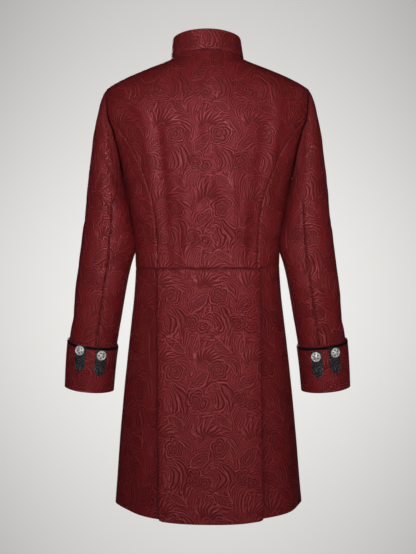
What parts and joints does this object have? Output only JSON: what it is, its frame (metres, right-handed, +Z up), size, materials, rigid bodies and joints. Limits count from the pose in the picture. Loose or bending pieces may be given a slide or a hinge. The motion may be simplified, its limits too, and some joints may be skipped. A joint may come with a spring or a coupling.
{
  "type": "medieval costume jacket",
  "caption": "Knee-length fitted frock-style costume coat in brocade, with a stand collar, curved back seams, a loose centre-back skirt panel, and turned-back cuffs with tabs and domed buttons.",
  "frame": {"origin": "centre of the neck opening, level with the neck ends of the shoulder seams, where the wearer's shoulders or a hanger carry the coat", "axes": "+Z up along the wearer's back, +Y to the back of the coat, -Y to its front, +X to the wearer's left"},
  "size_m": [0.6052, 0.3234, 1.0036],
  "materials": {
    "cloth": "soft sheen",
    "trim": "matte",
    "tab": "soft sheen",
    "metal": "antique silver"
  },
  "bodies": {
    "root": {"back_centre": "cloth", "side_back_left": "cloth", "side_back_right": "cloth", "front_left": "cloth", "front_right": "cloth", "skirt_back": "cloth", "skirt_side_left": "cloth", "skirt_side_right": "cloth", "skirt_front_left": "cloth", "skirt_front_right": "cloth", "collar": "cloth", "sleeve_top_left": "cloth", "sleeve_under_left": "cloth", "cuff_left": "cloth", "sleeve_top_right": "cloth", "sleeve_under_right": "cloth", "cuff_right": "cloth", "cuff_piping_left": "trim", "cuff_piping_right": "trim", "tab_outer_left": "tab", "tab_inner_left": "tab", "tab_outer_right": "tab", "tab_inner_right": "tab", "button_outer_left": "metal", "button_inner_left": "metal", "button_outer_right": "metal", "button_inner_right": "metal", "button_front_1": "metal", "button_front_2": "metal", "button_front_3": "metal", "button_front_4": "metal", "button_front_5": "metal", "button_front_6": "metal", "button_front_7": "metal"}
  },
  "joints": []
}
